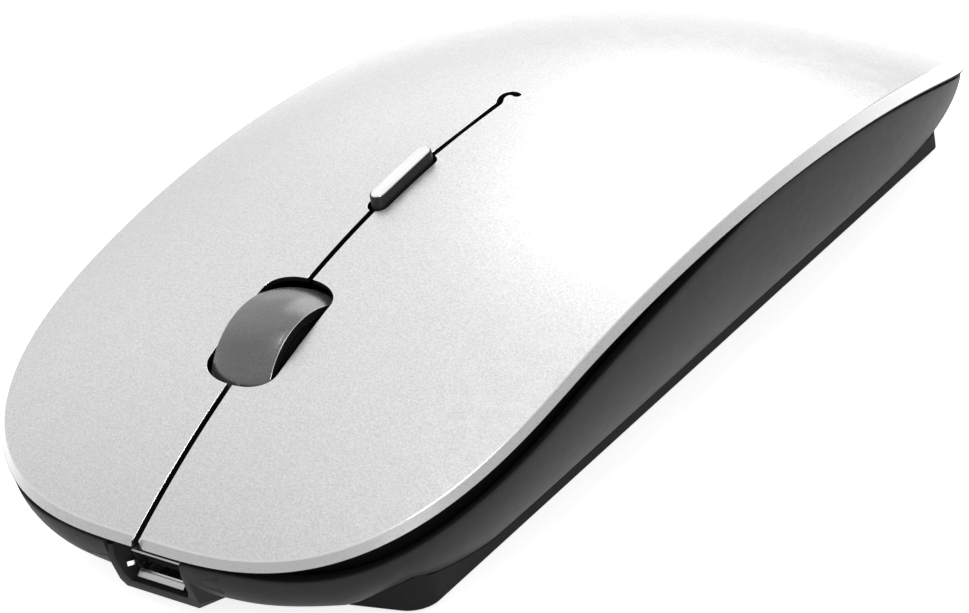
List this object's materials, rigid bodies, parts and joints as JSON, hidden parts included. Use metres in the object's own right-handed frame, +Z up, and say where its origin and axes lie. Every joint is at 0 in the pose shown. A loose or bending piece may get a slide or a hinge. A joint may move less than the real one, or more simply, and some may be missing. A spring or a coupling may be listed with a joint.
{
  "type": "computer mouse",
  "caption": "Slim wireless computer mouse with a silver arched shell, split click keys, scroll wheel, long resolution button, charging socket and dark tapered base.",
  "frame": {"origin": "on the resting surface under the middle of the mouse's length and width", "axes": "+Z up out of the palm; -Y to the front edge of the keys, where the charging socket is; +X to the user's left hand side"},
  "size_m": [0.057, 0.113, 0.026],
  "materials": {
    "silver_shell": "satin silver paint with fine metallic grain on moulded plastic",
    "graphite_base": "satin dark grey moulded plastic",
    "black_plate": "fine spark-eroded matt black plastic",
    "black_inner": "matt black moulded plastic",
    "soft_tyre": "satin dark grey rubber",
    "grey_hub": "plain grey moulded plastic",
    "green_encoder": "green moulded plastic",
    "white_plastic": "natural white moulded plastic",
    "bright_button": "bright metal plating on moulded plastic",
    "circuit_board": "green solder mask",
    "black_chip": "matt black moulding compound",
    "clear_lens": "clear moulded plastic",
    "red_led": "tinted clear resin",
    "tinned_steel": "bright tinned sheet steel",
    "screw_steel": "zinc plated steel",
    "foil_cell": "aluminium laminate pouch",
    "black_lead": "black insulation",
    "red_lead": "red insulation",
    "glide_foot": "polished low friction plastic"
  },
  "bodies": {
    "chassis": {"palm_cover": "silver_shell", "mid_frame": "black_inner", "base_shell": "graphite_base", "bottom_plate": "black_plate", "port_hood": "graphite_base", "inner_deck": "black_inner", "main_board": "circuit_board", "dpi_board": "circuit_board", "wheel_encoder": "green_encoder", "left_switch": "black_inner", "right_switch": "black_inner", "middle_switch": "black_inner", "dpi_switch": "black_inner", "optical_sensor": "black_chip", "sensor_lens": "clear_lens", "sensor_led": "red_led", "controller_chip": "black_chip", "radio_shield": "tinned_steel", "charge_chip": "black_chip", "power_switch": "tinned_steel", "battery": "foil_cell", "battery_plug": "white_plastic", "battery_lead_minus": "black_lead", "battery_lead_plus": "red_lead", "usb_socket": "tinned_steel", "usb_tongue": "black_inner", "front_foot": "glide_foot", "rear_left_foot": "glide_foot", "rear_right_foot": "glide_foot", "front_left_screw": "screw_steel", "front_right_screw": "screw_steel", "rear_left_screw": "screw_steel", "rear_right_screw": "screw_steel"},
    "left_button": {"left_key": "silver_shell"},
    "right_button": {"right_key": "silver_shell"},
    "left_stem": {"left_plunger": "white_plastic"},
    "right_stem": {"right_plunger": "white_plastic"},
    "wheel_carriage": {"wheel_cradle": "grey_hub"},
    "wheel": {"scroll_tyre": "soft_tyre", "wheel_hub": "grey_hub"},
    "middle_stem": {"middle_plunger": "white_plastic"},
    "resolution_button": {"dpi_button": "bright_button"},
    "resolution_stem": {"dpi_plunger": "white_plastic"},
    "power_knob": {"power_slider": "white_plastic"},
    "receiver": {"receiver_cap": "black_plate", "receiver_plug": "tinned_steel"}
  },
  "joints": [
    {"name": "left_press", "type": "hinge", "parent": "chassis", "child": "left_button", "pos_m": [0, 0.0014, 0.0249], "axis": [1, 0, 0], "range_deg": [0, 0.4], "stiffness_Nm_per_rad": 1.5, "springref_deg": -0.57},
    {"name": "right_press", "type": "hinge", "parent": "chassis", "child": "right_button", "pos_m": [0, 0.0014, 0.0249], "axis": [1, 0, 0], "range_deg": [0, 0.4], "stiffness_Nm_per_rad": 1.5, "springref_deg": -0.57},
    {"name": "left_switch_press", "type": "slide", "parent": "chassis", "child": "left_stem", "axis": [0, 0, -1], "range_m": [0, 0.00035]},
    {"name": "right_switch_press", "type": "slide", "parent": "chassis", "child": "right_stem", "axis": [0, 0, -1], "range_m": [0, 0.00035]},
    {"name": "wheel_press", "type": "slide", "parent": "chassis", "child": "wheel_carriage", "axis": [0, 0, -1], "range_m": [0, 0.0005], "stiffness_N_per_m": 1500, "springref_m": -0.0002},
    {"name": "wheel_spin", "type": "hinge", "parent": "wheel_carriage", "child": "wheel", "pos_m": [0, -0.0342, 0.0132], "axis": [1, 0, 0], "continuous": true},
    {"name": "middle_switch_press", "type": "slide", "parent": "chassis", "child": "middle_stem", "axis": [0, 0, -1], "range_m": [0, 0.0005]},
    {"name": "resolution_press", "type": "slide", "parent": "chassis", "child": "resolution_button", "axis": [0, 0, -1], "range_m": [0, 0.00035], "stiffness_N_per_m": 1500, "springref_m": -0.0002},
    {"name": "resolution_switch_press", "type": "slide", "parent": "chassis", "child": "resolution_stem", "axis": [0, 0, -1], "range_m": [0, 0.00035]},
    {"name": "power_slide", "type": "slide", "parent": "chassis", "child": "power_knob", "axis": [1, 0, 0], "range_m": [0, 0.003]},
    {"name": "receiver_pull", "type": "slide", "parent": "chassis", "child": "receiver", "axis": [0, 0, -1], "range_m": [0, 0.009]}
  ],
  "couplings": [
    {"joint": "left_switch_press", "follows": "left_press", "m_per_rad": 0.044},
    {"joint": "right_switch_press", "follows": "right_press", "m_per_rad": 0.044},
    {"joint": "middle_switch_press", "follows": "wheel_press", "ratio": 1},
    {"joint": "resolution_switch_press", "follows": "resolution_press", "ratio": 1}
  ]
}
